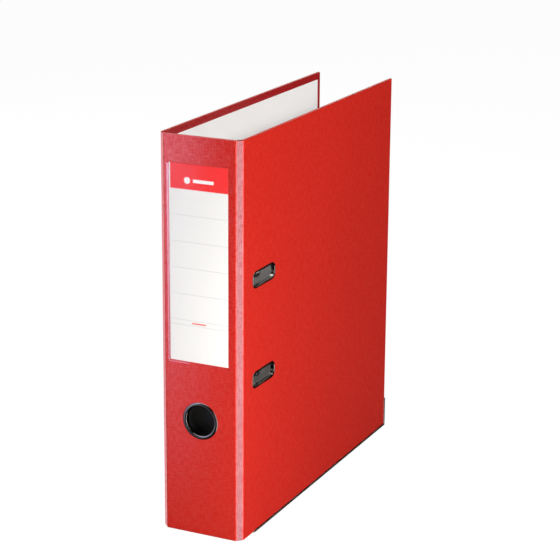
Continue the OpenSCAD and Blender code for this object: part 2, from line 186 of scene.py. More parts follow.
def clean(piece):
    edit = bmesh.new()
    edit.from_mesh(piece.data)
    bmesh.ops.remove_doubles(edit, verts=edit.verts, dist=MERGE_WITHIN)
    bmesh.ops.recalc_face_normals(edit, faces=edit.faces)
    edit.to_mesh(piece.data)
    edit.free()


def face_outwards(piece, outwards):
    """Turns an open sheet round, if its largest face points away from outwards."""
    mesh = piece.data
    largest = max(mesh.polygons, key=lambda p: p.area)
    if largest.normal.dot(outwards) < 0:
        mesh.flip_normals()


def smooth(piece, angle=32):
    for polygon in piece.data.polygons:
        polygon.use_smooth = True
    piece.data.set_sharp_from_angle(angle=math.radians(angle))


def thicken(piece, thickness):
    modify(piece, "SOLIDIFY", thickness=thickness, offset=-1, use_even_offset=True)
    apply_modifiers(piece)


def cut(piece, cutter):
    modify(piece, "BOOLEAN", object=cutter, operation="DIFFERENCE", solver="EXACT")
    apply_modifiers(piece)
    bpy.data.objects.remove(cutter)


def cutter_through(rings):
    """A plain closed solid through rings of points, for cutting."""
    points = [p for ring in rings for p in ring]
    count = len(rings[0])
    faces = grid_faces(len(rings), count, loop_columns=True)
    faces.append(tuple(range(count))[::-1])
    faces.append(tuple(range(len(points) - count, len(points))))
    mesh = bpy.data.meshes.new("cutter")
    mesh.from_pydata([tuple(p) for p in points], [], faces)
    piece = bpy.data.objects.new("cutter", mesh)
    bpy.context.scene.collection.objects.link(piece)
    clean(piece)
    return piece


# Angles of a quarter turn, from 0 to 90 degrees
QUARTER = [math.pi / 2 * i / ARC_STEPS for i in range(ARC_STEPS + 1)]


def quarter(radius):
    """(inset, depth) points of a round edge, from the side face to the front face."""
    return [(radius * (1 - math.cos(a)), radius * (1 - math.sin(a))) for a in QUARTER]


def rounded_rect(width, height, radius, steps=8):
    """Points of a rectangle with round corners, in order, round the origin."""
    points = []
    corners = [(1, 1, 0), (-1, 1, 90), (-1, -1, 180), (1, -1, 270)]
    for sx, sy, start in corners:
        for i in range(steps + 1):
            angle = math.radians(start + 90 * i / steps)
            x = sx * (width / 2 - radius) + radius * math.cos(angle)
            y = sy * (height / 2 - radius) + radius * math.sin(angle)
            points.append((x, y))
    return points


def circle(radius, steps=96):
    angles = [2 * math.pi * i / steps for i in range(steps)]
    return [(radius * math.cos(a), radius * math.sin(a)) for a in angles]


# ---- material helpers ----

class Nodes:
    """A material with a Principled shader, and short ways to add nodes to it."""

    def __init__(self, name, **sockets):
        self.material = bpy.data.materials.new(name)
        self.material.use_nodes = True
        self.tree = self.material.node_tree
        self.shader = self.tree.nodes["Principled BSDF"]
        self.place = self.add("ShaderNodeTexCoord").outputs["Object"]
        for socket, value in sockets.items():
            self.shader.inputs[socket.replace("_", " ")].default_value = value

    def add(self, kind, **settings):
        node = self.tree.nodes.new(kind)
        for key, value in settings.items():
            setattr(node, key, value)
        return node

    def feed(self, value, socket):
        if isinstance(value, bpy.types.NodeSocket):
            self.tree.links.new(value, socket)
        else:
            socket.default_value = value

    def math(self, operation, a, b=0.0, c=0.0, clamp=False):
        node = self.add("ShaderNodeMath", operation=operation, use_clamp=clamp)
        for value, socket in zip((a, b, c), node.inputs):
            self.feed(value, socket)
        return node.outputs[0]

    def axes(self):
        split = self.add("ShaderNodeSeparateXYZ")
        self.feed(self.place, split.inputs[0])
        return split.outputs

    def vector(self, x, y, z):
        join = self.add("ShaderNodeCombineXYZ")
        for value, socket in zip((x, y, z), join.inputs):
            self.feed(value, socket)
        return join.outputs[0]

    def stretched(self, scales):
        """The place, scaled by a number of features a metre along each axis."""
        node = self.add("ShaderNodeVectorMath", operation="MULTIPLY")
        self.feed(self.place, node.inputs[0])
        node.inputs[1].default_value = scales
        return node.outputs[0]

    def noise(self, where, detail=2.0, roughness=0.5):
        node = self.add("ShaderNodeTexNoise")
        self.feed(where, node.inputs["Vector"])
        node.inputs["Scale"].default_value = 1.0
        node.inputs["Detail"].default_value = detail
        node.inputs["Roughness"].default_value = roughness
        return node.outputs["Fac"]

    def between(self, value, low, high):
        """value from 0 to 1, turned to low to high."""
        node = self.add("ShaderNodeMapRange", clamp=True)
        self.feed(value, node.inputs["Value"])
        node.inputs["To Min"].default_value = low
        node.inputs["To Max"].default_value = high
        return node.outputs[0]

    def contrast(self, value, low, high):
        """value from low to high, turned to 0 to 1."""
        node = self.add("ShaderNodeMapRange", clamp=True)
        self.feed(value, node.inputs["Value"])
        node.inputs["From Min"].default_value = low
        node.inputs["From Max"].default_value = high
        return node.outputs[0]

    def mix(self, factor, a, b):
        node = self.add("ShaderNodeMix", data_type="RGBA")
        self.feed(factor, node.inputs["Factor"])
        self.feed(a, node.inputs["A"])
        self.feed(b, node.inputs["B"])
        return node.outputs["Result"]

    def inside(self, value, low, high):
        """1 where value is between low and high, else 0."""
        above = self.math("GREATER_THAN", value, low)
        below = self.math("LESS_THAN", value, high)
        return self.math("MULTIPLY", above, below)

    def bump(self, height, strength, distance):
        node = self.add("ShaderNodeBump")
        node.inputs["Strength"].default_value = strength
        node.inputs["Distance"].default_value = distance
        self.feed(height, node.inputs["Height"])
        self.tree.links.new(node.outputs[0], self.shader.inputs["Normal"])

    def set(self, socket, value):
        self.feed(value, self.shader.inputs[socket])


def rgb(red, green, blue):
    return (red, green, blue, 1.0)


# ---- materials ----

# Threads a metre across their run, and how many times longer than wide a thread is
THREADS = 1300
THREAD_STRETCH = 8
THREAD_CONTRAST = (0.41, 0.59)
THREAD_H = 0.05 * MM
# How much lighter the film is painted on its raised threads, in red, green and blue: the threads are
# the film's own grain, and their lighter lavender tint is a painted sheen
THREAD_SHEEN = (1.08, 1.7, 1.9)
THREAD_SHEEN_SHARE = 0.4


def linen_height(m):
    """Fine raised threads, along the case and up it, from 0 to 1."""
    x, y, z = m.axes()
    along = m.math("ADD", m.math("ABSOLUTE", x), y)
    across_threads = (THREADS, THREADS / THREAD_STRETCH)
    upright = [m.math("MULTIPLY", value, k) for value, k in zip((along, z), across_threads)]
    level = [m.math("MULTIPLY", value, k) for value, k in zip((z, along), across_threads)]
    warp = m.noise(m.vector(*upright, 0))
    weft = m.noise(m.vector(*level, 7))
    return m.math("MULTIPLY", m.math("ADD", warp, weft), 0.5)


def red_film(name, dark, light, grain=0.1, gloss=(0.28, 0.75)):
    """Coloured film with a fine linen grain. gloss is the specular level between and on threads."""
    m = Nodes(name)
    linen = linen_height(m)
    cloud = m.noise(m.stretched((9, 9, 9)), detail=3)
    threads = m.contrast(linen, *THREAD_CONTRAST)
    # The raised threads are painted lighter and bluer: a painted sheen laid on the film's own linen
    # grain
    thread_sheen = rgb(*(level * more for level, more in zip(light, THREAD_SHEEN)))
    film = m.mix(cloud, rgb(*dark), rgb(*light))
    m.set("Base Color", m.mix(m.math("MULTIPLY", threads, THREAD_SHEEN_SHARE), film, thread_sheen))
    m.set("Roughness", m.between(threads, 0.28, 0.34))
    m.set("Specular IOR Level", m.between(threads, *gloss))
    m.bump(linen, grain, THREAD_H)
    return m.material


def greyboard():
    m = Nodes("greyboard", Roughness=0.95)
    fibre = m.noise(m.stretched((900, 900, 2500)), detail=4, roughness=0.7)
    m.set("Base Color", m.mix(fibre, rgb(0.24, 0.21, 0.17), rgb(0.52, 0.47, 0.40)))
    m.bump(fibre, 0.5, 0.15 * MM)
    return m.material


def lining_paper():
    """Smooth coated paper with a little fibre and cockle."""
    m = Nodes("lining_paper", Specular_IOR_Level=0.35)
    fibre = m.noise(m.stretched((500, 500, 1400)), detail=4, roughness=0.65)
    cockle = m.noise(m.stretched((22, 22, 30)), detail=2)
    m.set("Base Color", m.mix(fibre, rgb(0.90, 0.885, 0.865), rgb(0.95, 0.94, 0.925)))
    m.set("Roughness", m.between(fibre, 0.55, 0.72))
    m.bump(m.math("MULTIPLY_ADD", cockle, 6.0, fibre), 0.3, 0.05 * MM)
    return m.material


# The label card's print. DOWN is measured from the card's top edge, and DISC_AT and the
# spans are shares of its width from its middle.
HEADER_H = 19.5 * MM
HEADER_EDGE = 1.1 * MM
MARK_DOWN = 12.6 * MM
DISC_AT = 0.19
DISC_R = 2.6 * MM
BAR_SPAN = (-0.09, 0.26)
BAR_H = 2.6 * MM
RULES_DOWN = [mm * MM for mm in (39.5, 60.0, 80.5, 101.0, 121.5, 125.5)]
RULE_HALF = 0.22 * MM
DASH_SPAN = (-0.12, 0.12)
DASH_DOWN = (122.9 * MM, 124.1 * MM)


def card():
    """Label card printed on its front: a header band with a plain disc and bar, then ruled lines."""
    m = Nodes("card", Specular_IOR_Level=0.35)
    x, y, z = m.axes()
    front = m.math("LESS_THAN", y, (CARD_LOW.y + CARD_HIGH.y) / 2)
    width = CARD_HIGH.x - CARD_LOW.x
    middle = (CARD_HIGH.x + CARD_LOW.x) / 2
    across = m.math("SUBTRACT", x, middle)
    down = m.math("SUBTRACT", CARD_HIGH.z, z)
    band = m.math(
        "MULTIPLY",
        m.math("LESS_THAN", down, HEADER_H),
        m.math("GREATER_THAN", across, HEADER_EDGE - width / 2),
    )

    disc_x = m.math("ADD", across, DISC_AT * width)
    disc_z = m.math("SUBTRACT", down, MARK_DOWN)
    square = m.math("ADD", m.math("MULTIPLY", disc_x, disc_x), m.math("MULTIPLY", disc_z, disc_z))
    disc = m.math("LESS_THAN", square, DISC_R ** 2)
    bar = m.math(
        "MULTIPLY",
        m.inside(across, BAR_SPAN[0] * width, BAR_SPAN[1] * width),
        m.inside(down, MARK_DOWN - BAR_H / 2, MARK_DOWN + BAR_H / 2),
    )
    mark = m.math("MAXIMUM", disc, bar)

    rules = 0.0
    for depth in RULES_DOWN:
        rule = m.inside(down, depth - RULE_HALF, depth + RULE_HALF)
        rules = m.math("MAXIMUM", rules, rule)
    dash = m.math(
        "MULTIPLY",
        m.inside(across, DASH_SPAN[0] * width, DASH_SPAN[1] * width),
        m.inside(down, *DASH_DOWN),
    )

    fibre = m.noise(m.stretched((700, 700, 900)), detail=3)
    paper = m.mix(fibre, rgb(0.715, 0.70, 0.67), rgb(0.765, 0.75, 0.73))
    red = rgb(0.77, 0.034, 0.033)
    inked = m.mix(rules, paper, rgb(0.56, 0.56, 0.56))
    inked = m.mix(dash, inked, rgb(0.70, 0.16, 0.13))
    inked = m.mix(band, inked, red)
    inked = m.mix(mark, inked, rgb(0.80, 0.79, 0.78))
    m.set("Base Color", m.mix(front, paper, inked))
    m.set("Roughness", m.between(fibre, 0.45, 0.6))
    m.bump(fibre, 0.2, 0.03 * MM)
    return m.material


POCKET_RIM = 2.2 * MM
WELD_HAZE = 0.05
FILM_HAZE = 0.006
GLANCE_POWER = 4.0


def clear_film():
    """Clear gloss film, which mirrors at a glancing angle and is hazy where it is welded."""
    m = Nodes("clear_film", Roughness=0.16, Metallic=1.0)
    m.shader.inputs["Base Color"].default_value = rgb(0.96, 0.96, 0.97)
    facing = m.add("ShaderNodeLayerWeight")
    glancing = m.math("POWER", facing.outputs["Facing"], GLANCE_POWER)
    ripple = m.noise(m.stretched((60, 60, 25)), detail=2)
    x, _, z = m.axes()
    middle = (POCKET_HIGH.x + POCKET_LOW.x) / 2
    off_middle = m.math("ABSOLUTE", m.math("SUBTRACT", x, middle))
    at_side = m.math("GREATER_THAN", off_middle, POCKET_HIGH.x - middle - POCKET_RIM)
    at_foot = m.math("LESS_THAN", z, POCKET_LOW.z + POCKET_RIM)
    weld = m.math("MULTIPLY", m.math("MAXIMUM", at_side, at_foot), WELD_HAZE)
    haze = m.math("ADD", m.between(ripple, 0.0, FILM_HAZE), weld)
    m.set("Alpha", m.math("ADD", glancing, haze, clamp=True))
    m.bump(ripple, 0.15, 0.2 * MM)
    return m.material


def bare_metal(name, dark, light, rough, grain):
    """Metal with a fine drawn grain along one axis, dull patches and light handling marks."""
    m = Nodes(name, Metallic=1.0)
    drawn = m.noise(m.stretched(grain), detail=3, roughness=0.6)
    patch = m.noise(m.stretched((70, 70, 70)), detail=4, roughness=0.6)
    m.set("Base Color", m.mix(patch, rgb(*dark), rgb(*light)))
    low, high = rough
    m.set("Roughness", m.between(m.math("MULTIPLY", m.math("ADD", drawn, patch), 0.5), low, high))
    m.bump(drawn, 0.25, 0.02 * MM)
    return m.material


def moulded_plastic(name, dark, light, rough, grain):
    """Moulded plastic with a spark-eroded grain."""
    m = Nodes(name)
    pits = m.noise(m.stretched((grain, grain, grain)), detail=2)
    wear = m.noise(m.stretched((60, 60, 60)), detail=3)
    m.set("Base Color", m.mix(wear, rgb(*dark), rgb(*light)))
    m.set("Roughness", m.between(wear, *rough))
    m.bump(pits, 0.35, 0.04 * MM)
    return m.material


# Features a metre along each axis, for metal drawn along one axis and for plated metal
DRAWN_ALONG_Z = (1500, 1500, 120)
DRAWN_ALONG_EDGE = (90, 90, 1800)
PLATED = (900, 900, 900)

MATERIALS = {
    "red_film": red_film("red_film", (0.46, 0.0125, 0.0062), (0.50, 0.0142, 0.0075)),
    # Darker copy of red_film for the front fold strip: painted shade, the strip darkened as if lit
    # like a crease
    "painted_shade_fold_film": red_film("painted_shade_fold_film", (0.20, 0.010, 0.010), (0.23, 0.012, 0.012), 0.2),
    # Lighter copy of red_film with low gloss for the back fold strip: the lighter base is painted
    # light, brightening a strip the lamps reach weakly
    "painted_light_dull_film": red_film(
        "painted_light_dull_film", (0.60, 0.0125, 0.0062), (0.66, 0.0142, 0.0075), gloss=(0.05, 0.15)
    ),
    # Darker copy of red_film with less gloss for the faces inside the file: painted shade standing in
    # for the shade inside the file
    "painted_shade_turned_in_film": red_film(
        "painted_shade_turned_in_film", (0.33, 0.010, 0.011), (0.37, 0.012, 0.013), gloss=(0.05, 0.2)
    ),
    "greyboard": greyboard(),
    "lining_paper": lining_paper(),
    "card": card(),
    "clear_film": clear_film(),
    "shoe_steel": bare_metal(
        "shoe_steel", (0.30, 0.26, 0.23), (0.46, 0.41, 0.37), (0.28, 0.48), DRAWN_ALONG_EDGE
    ),
    "nickel": bare_metal(
        "nickel", (0.60, 0.58, 0.54), (0.74, 0.72, 0.68), (0.12, 0.28), PLATED
    ),
    "rim_nickel": bare_metal(
        "rim_nickel", (0.10, 0.092, 0.082), (0.17, 0.157, 0.14), (0.12, 0.28), PLATED
    ),
    "zinc_steel": bare_metal(
        "zinc_steel", (0.42, 0.43, 0.45), (0.66, 0.67, 0.70), (0.24, 0.50), DRAWN_ALONG_Z
    ),
    "spring_steel": bare_metal(
        "spring_steel", (0.09, 0.09, 0.11), (0.20, 0.20, 0.23), (0.25, 0.45), DRAWN_ALONG_Z
    ),
    "black_plastic": moulded_plastic(
        "black_plastic", (0.006, 0.006, 0.006), (0.013, 0.012, 0.011), (0.45, 0.65), 1800
    ),
    "roller_plastic": moulded_plastic(
        "roller_plastic", (0.02, 0.02, 0.022), (0.04, 0.04, 0.042), (0.25, 0.4), 900
    ),
}

for part in frame["record"]["subparts"]:
    slots = frame["nodes"][part["node"]].data.materials
    slots.clear()
    slots.append(MATERIALS[part["material_slot"]])


# ---- film, in one piece for each panel and one for each crease ----

def edge_rows():
    """(inset, depth) of the film from the end of its turned-in margin to the outer face."""
    inner = [(inset, WRAP_T - depth) for inset, depth in reversed(quarter(EDGE_R))]
    return (
        [(TURN_IN, WRAP_T), (EDGE_R + SUPPORT, WRAP_T)]
        + inner
        + quarter(EDGE_R)
        + [(EDGE_R + SUPPORT, 0)]
    )


def panel_frame(index):
    """Start corner, direction along the panel and direction into the file."""
    start = CORNERS[index]
    along = (CORNERS[index + 1] - start).normalized()
    return start, along, Vector((-along.y, along.x, 0))


def band(name, stations, finish, body=None):
    """Film over the outside of a panel, turned in over its top and bottom edges.

    A station is a point on the outer face and the point behind it, WRAP_T deep.
    """
    rows = [(Z_LOW + inset, depth) for inset, depth in edge_rows()]
    rows += [(Z_HIGH - inset, depth) for inset, depth in reversed(edge_rows())]
    points = []
    for z, depth in rows:
        for outer, inner in stations:
            place = outer.lerp(inner, depth / WRAP_T)
            points.append((place.x, place.y, z))
    faces = grid_faces(len(rows), len(stations))
    piece = new_piece(name, points, faces, finish, body)
    outer, inner = stations[0]
    face_outwards(piece, outer - inner)
    thicken(piece, FILM_SHEET_T)
    smooth(piece)
    return piece


def panel_band(name, index, finish, body):
    start, along, inwards = panel_frame(index)
    length = (CORNERS[index + 1] - start).length
    stations = []
    for distance in (CREASE_REACH, length - CREASE_REACH):
        outer = start + along * distance
        stations.append((outer, outer + inwards * WRAP_T))
    piece = band(name, stations, finish, body)
    shade_margin(piece, lambda place: (place - start).dot(inwards))
    return piece


def fold_stations(crease, reach, radius, inner_radius, depth):
    """Stations round a corner of the case, from the panel before it to the panel after it."""
    _, before, inwards_before = panel_frame(crease)
    corner, after, inwards_after = panel_frame(crease + 1)
    bisector = (inwards_before + inwards_after).normalized()
    half = CREASE_TURN / 2
    middle = corner + bisector * (radius / math.cos(half))
    inner_corner = corner + bisector * (depth / math.cos(half))
    inner_middle = inner_corner + bisector * (inner_radius / math.cos(half))
    first = corner - before * reach
    last = corner + after * reach
    stations = [(first, first + inwards_before * depth)]
    for i in range(ARC_STEPS + 1):
        turn = Matrix.Rotation(CREASE_TURN * i / ARC_STEPS, 3, "Z")
        outward = -(turn @ inwards_before)
        stations.append((middle + outward * radius, inner_middle + outward * inner_radius))
    stations.append((last, last + inwards_after * depth))
    return stations


def hinge_lining(name, crease):
    """Lining paper over the inside of a crease, where the file bends."""
    fold = fold_stations(crease, HINGE_REACH, CREASE_R, HINGE_R, PANEL_T + HINGE_T)
    heights = (Z_LOW + BARE_MARGIN, Z_HIGH - BARE_MARGIN)
    points = [(inner.x, inner.y, z) for z in heights for _, inner in fold]
    piece = new_piece(name, points, grid_faces(len(heights), len(fold)), "lining_paper")
    outer, inner = fold[0]
    face_outwards(piece, inner - outer)
    thicken(piece, HINGE_T)
    smooth(piece)
    return piece


def bend_at(piece):
    """Bakes the piece's placement into its mesh."""
    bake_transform(piece)


def cover_film(name, side, body):
    """Film over a cover, turned in along its top, bottom and fore edges. side is 1 for the front."""
    near = corner_of("cover_crease").y + CREASE_REACH
    rings = []
    for inset, depth in edge_rows():
        x = side * (HALF_W - depth)
        radius = max(CORNER_R - inset, 0)
        fore = HALF_D - inset - radius
        low = Z_LOW + inset + radius
        high = Z_HIGH - inset - radius
        ring = [(x, near, Z_LOW + inset)]
        ring += [(x, fore + radius * math.sin(a), low - radius * math.cos(a)) for a in QUARTER]
        ring += [(x, fore + radius * math.cos(a), high + radius * math.sin(a)) for a in QUARTER]
        ring.append((x, near, Z_HIGH - inset))
        rings.append(ring)
    count = len(rings[0])
    points = [p for ring in rings for p in ring]
    faces = grid_faces(len(rings), count)
    faces.append(tuple(range(len(points) - count, len(points))))
    piece = new_piece(name, points, faces, "red_film", body)
    clean(piece)
    face_outwards(piece, Vector((side, 0, 0)))
    thicken(piece, FILM_SHEET_T)
    return piece


# ---- rims ----

RIM_PROUD = 0.7 * MM
RIM_W = 1.5 * MM
RIM_WALL = 0.4 * MM
RIM_BACK = 0.4 * MM
RIM_CHAMFER = 0.15 * MM
SLOT_H = 13.6 * MM
SLOT_R = 5.8 * MM
SLOT_L = RIM_HIGH.y - RIM_LOW.y
SLOT_Y = (RIM_HIGH.y + RIM_LOW.y) / 2
SLOT_ZS = [RIM_LOW.z + SLOT_H / 2, RIM_HIGH.z - SLOT_H / 2]


def slot_ring(z, inset, depth):
    """A ring of points round a slot, inset from the rim's outside and deep in the cover."""
    outline = rounded_rect(SLOT_H - 2 * inset, SLOT_L - 2 * inset, SLOT_R - inset)
    return [(HALF_W - depth, SLOT_Y + along, z + up) for up, along in outline]


def slot_cutter(z):
    inset = RIM_W - RIM_WALL - CUT_CLEAR
    return cutter_through([slot_ring(z, inset, depth) for depth in CUT_DEPTHS])


def rolled(width, proud, steps):
    """(inset, depth) of a half-round rim, from its outside to its inside."""
    angles = [math.pi * i / steps for i in range(steps + 1)]
    return [(width / 2 * (1 - math.cos(a)), -proud * math.sin(a)) for a in angles]


def slot_rims():
    """Two pressed rims, each rolled outside and clinched over the lining."""
    back = PANEL_T + RIM_BACK
    profile = rolled(RIM_W, RIM_PROUD, 10)
    profile += [(RIM_W, back - RIM_CHAMFER), (RIM_W - RIM_CHAMFER, back), (RIM_CHAMFER, back)]
    profile += [(0, back - RIM_CHAMFER), (0, PANEL_T), (RIM_W - RIM_WALL, PANEL_T)]
    profile += [(RIM_W - RIM_WALL, 0)]
    points = []
    faces = []
    for z in SLOT_ZS:
        rings = [slot_ring(z, inset, depth) for inset, depth in profile]
        count = len(rings[0])
        base = len(points)
        points += [p for ring in rings for p in ring]
        quads = grid_faces(len(rings), count, loop_rows=True, loop_columns=True)
        faces += [tuple(base + v for v in quad) for quad in quads]
    piece = new_piece("slot_rims", points, faces, "rim_nickel", "front_cover")
    clean(piece)
    smooth(piece, 40)
    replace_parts(piece, "slot_eyelets")


RING_Z = (RING_LOW.z + RING_HIGH.z) / 2
RING_OUT_R = (RING_HIGH.x - RING_LOW.x) / 2
RING_IN_R = 12 * MM
RING_PROUD = -HALF_D - RING_LOW.y
RING_BACK = RING_HIGH.y + HALF_D
RING_WALL = 0.8 * MM
RING_LIP = 1.3 * MM
RING_LIP_T = 0.6 * MM
RING_CHAMFER = 0.3 * MM


def spine_ring(radius, depth):
    return [(x, -HALF_D + depth, RING_Z + z) for x, z in circle(radius)]


def ring_cutter():
    radius = RING_IN_R + RING_WALL + CUT_CLEAR
    return cutter_through([spine_ring(radius, depth) for depth in CUT_DEPTHS])


def finger_ring():
    """Nickelled ring: a rolled rim outside, a throat, and a lip turned over the cup's flange."""
    rim = rolled(RING_OUT_R - RING_IN_R, RING_PROUD, 12)
    profile = [(RING_OUT_R - inset, depth) for inset, depth in rim]
    throat = RING_IN_R + RING_WALL
    lip = throat + RING_LIP
    turn = RING_BACK - RING_LIP_T
    profile += [(RING_IN_R, turn), (RING_IN_R + RING_CHAMFER, RING_BACK)]
    profile += [(lip - RING_CHAMFER, RING_BACK), (lip, turn + RING_CHAMFER), (lip, turn)]
    profile += [(throat, turn), (throat, 0)]
    rings = [spine_ring(radius, depth) for radius, depth in profile]
    points = [p for ring in rings for p in ring]
    faces = grid_faces(len(rings), len(rings[0]), loop_rows=True, loop_columns=True)
    piece = new_piece("ring_rim", points, faces, "rim_nickel", "spine")
    clean(piece)
    smooth(piece, 40)
    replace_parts(piece, "finger_ring")


# ---- label pocket ----

POCKET_R = 2.0 * MM
POCKET_LEAST_R = 0.2 * MM
POCKET_SHEET_T = 0.15 * MM
# Inset in mm and height in sheet thicknesses of the ribs of the weld
WELD_RIBS = [(0, 0), (0, 1), (0.5, 1.5), (1.0, 1), (1.4, 1.5)]
# Inset in mm and share of the full height where the sheet steps up over the card
STEP_UP = [(1.7, 0.8), (2.1, 0.97), (2.6, 1)]
NOTCH_R = 8.5 * MM
NOTCH_DROP = 3.5 * MM
NOTCH_CUT = 2 * MM


def pocket():
    """Clear sheet welded down its sides and along its foot, and standing off over the card."""
    face = -HALF_D
    lift = face - POCKET_LOW.y
    middle = (POCKET_LOW.x + POCKET_HIGH.x) / 2
    half = (POCKET_HIGH.x - POCKET_LOW.x) / 2
    rows = [(inset * MM, height * POCKET_SHEET_T) for inset, height in WELD_RIBS]
    rows += [(inset * MM, share * lift) for inset, share in STEP_UP]
    rings = []
    for inset, proud in rows:
        radius = max(POCKET_R - inset, POCKET_LEAST_R)
        side = half - inset
        foot = POCKET_LOW.z + inset
        y = face - proud
        ring = [(middle - side, y, POCKET_HIGH.z)]
        ring += [(middle - side + along, y, foot + up) for along, up in quarter(radius)]
        ring += [(2 * middle - px, py, pz) for px, py, pz in reversed(ring)]
        rings.append(ring)
    count = len(rings[0])
    points = [p for ring in rings for p in ring]
    faces = grid_faces(len(rings), count)
    faces.append(tuple(range(len(points) - count, len(points))))
    piece = new_piece("pocket_sheet", points, faces, "clear_film", "spine")
    clean(piece)
    face_outwards(piece, Vector((0, -1, 0)))
    thicken(piece, POCKET_SHEET_T * 0.8)
    centre = POCKET_LOW.z + POCKET_RIM - NOTCH_DROP
    notch = [
        [(middle + x, y, centre + z) for x, z in circle(NOTCH_R, 64)]
        for y in (face - NOTCH_CUT, face + NOTCH_CUT)
    ]
    cut(piece, cutter_through(notch))
    smooth(piece)
    piece.visible_shadow = False
    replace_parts(piece, "label_pocket")


# ---- pieces with their edges softened ----

SOFT_STEEL = 0.15 * MM
SOFT_SMALL = 0.08 * MM


def softened(node, width):
    """A copy of a CAD piece with its sharp edges rounded, which takes the node's place."""
    source = frame["nodes"][node]
    mesh = source.data.copy()
    piece = bpy.data.objects.new(node + "_fine", mesh)
    bpy.context.scene.collection.objects.link(piece)
    edit = bmesh.new()
    edit.from_mesh(mesh)
    bmesh.ops.remove_doubles(edit, verts=edit.verts, dist=MERGE_WITHIN)
    bmesh.ops.dissolve_limit(
        edit, angle_limit=math.radians(1), verts=edit.verts, edges=edit.edges
    )
    edit.to_mesh(mesh)
    edit.free()
    modify(
        piece, "BEVEL", width=width, segments=3, limit_method="ANGLE",
        angle_limit=math.radians(35), use_clamp_overlap=True,
    )
    apply_modifiers(piece)
    smooth(piece, 30)
    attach(piece, source["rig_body"])
    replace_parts(piece, node)


# ---- build ----

back_film = cover_film("back_film", -1, "back_cover")
shade_margin(back_film, lambda place: place.x + HALF_W)
smooth(back_film)
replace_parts(back_film, "back_skin")

front_film = cover_film("front_film", 1, "front_cover")
for z in SLOT_ZS:
    cut(front_film, slot_cutter(z))
shade_margin(front_film, lambda place: HALF_W - place.x)
smooth(front_film)
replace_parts(front_film, "front_skin")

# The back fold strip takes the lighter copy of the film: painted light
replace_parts(panel_band("back_strip_film", 1, "painted_light_dull_film", "back_fold"), "back_strip_skin")
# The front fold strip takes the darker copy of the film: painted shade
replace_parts(panel_band("front_strip_film", 3, "painted_shade_fold_film", "front_fold"), "front_strip_skin")

spine_film = panel_band("spine_film", 2, "red_film", "spine")
cut(spine_film, ring_cutter())
smooth(spine_film)
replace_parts(spine_film, "spine_skin")

for index, crease in enumerate(CREASES):
    fold = fold_stations(index, CREASE_REACH, CREASE_R, CREASE_INNER_R, WRAP_T)
    bend_at(band(crease + "_crease_film", fold, "red_film"))
    bend_at(hinge_lining(crease + "_hinge_lining", index))

slot_rims()
finger_ring()
pocket()

STEEL_NODES = ("back_shoe", "front_shoe", "base_plate", "compressor_bar", "compressor_latch", "lever")
SMALL_NODES = ("upper_post", "lower_post", "roller", "label_card")
for node in STEEL_NODES:
    softened(node, SOFT_STEEL)
for node in SMALL_NODES:
    softened(node, SOFT_SMALL)


# ---- camera, light and floor ----

CAMERA_PLACE = (0.637007, -1.339386, 0.607956)
CAMERA_YAW = -0.445
CAMERA_PITCH = 0.287
CAMERA_ROLL = 0.007
CAMERA_LENS = 120.746
SENSOR_W = 36
FAR_CLIP = 50

FLOOR_REACH = 12
FLOOR_WHITE = 0.9
FLOOR_GLOW = 1.08
SEEN_WHITE = 1.0
AMBIENT = 0.03
MIRRORED = 0.03
# Heights between which a card's glow grows, both below every card, so the whole card glows
NO_FADE = (-2, -1)


def camera():
    data = bpy.data.cameras.new("camera")
    data.lens = CAMERA_LENS
    data.sensor_width = SENSOR_W
    data.clip_end = FAR_CLIP
    view = bpy.data.objects.new("camera", data)
    ahead = Vector((
        math.sin(CAMERA_YAW) * math.cos(CAMERA_PITCH),
        math.cos(CAMERA_YAW) * math.cos(CAMERA_PITCH),
        -math.sin(CAMERA_PITCH),
    ))
    right = Vector((math.cos(CAMERA_YAW), -math.sin(CAMERA_YAW), 0))
    up = right.cross(ahead)
    turned_right = right * math.cos(CAMERA_ROLL) + up * math.sin(CAMERA_ROLL)
    turned_up = up * math.cos(CAMERA_ROLL) - right * math.sin(CAMERA_ROLL)
    turn = Matrix((turned_right, turned_up, -ahead)).transposed().to_4x4()
    view.matrix_world = Matrix.Translation(CAMERA_PLACE) @ turn
    bpy.context.scene.collection.objects.link(view)
    bpy.context.scene.camera = view


def softbox(name, place, target, size, power):
    """A square soft lamp for the matt part of the light. The cards make what gloss mirrors."""
    data = bpy.data.lights.new(name, "AREA")
    data.shape = "RECTANGLE"
    data.size = size
    data.size_y = size
    data.energy = power
    lamp = bpy.data.objects.new(name, data)
    lamp.location = place
    aim = Vector(target) - Vector(place)
    lamp.rotation_euler = aim.to_track_quat("-Z", "Y").to_euler()
    lamp.visible_camera = False
    lamp.visible_glossy = False
    bpy.context.scene.collection.objects.link(lamp)


def stage_sheet(name, corners, material):
    mesh = bpy.data.meshes.new(name)
    mesh.from_pydata(corners, [], [tuple(range(len(corners)))])
    piece = bpy.data.objects.new(name, mesh)
    mesh.materials.append(material)
    bpy.context.scene.collection.objects.link(piece)
    return piece


def glowing(name, strength, colour, fade):
    """A glow that grows from none at the first height of fade to its full strength at the second."""
    material = bpy.data.materials.new(name)
    material.use_nodes = True
    tree = material.node_tree
    tree.nodes.clear()
    place = tree.nodes.new("ShaderNodeTexCoord")
    split = tree.nodes.new("ShaderNodeSeparateXYZ")
    tree.links.new(place.outputs["Object"], split.inputs[0])
    ramp = tree.nodes.new("ShaderNodeMapRange")
    tree.links.new(split.outputs["Z"], ramp.inputs["Value"])
    ramp.inputs["From Min"].default_value = fade[0]
    ramp.inputs["From Max"].default_value = fade[1]
    ramp.inputs["To Max"].default_value = strength
    glow = tree.nodes.new("ShaderNodeEmission")
    glow.inputs["Color"].default_value = rgb(*colour)
    tree.links.new(ramp.outputs[0], glow.inputs["Strength"])
    out = tree.nodes.new("ShaderNodeOutputMaterial")
    tree.links.new(glow.outputs[0], out.inputs["Surface"])
    material.cycles.emission_sampling = "NONE"
    return material


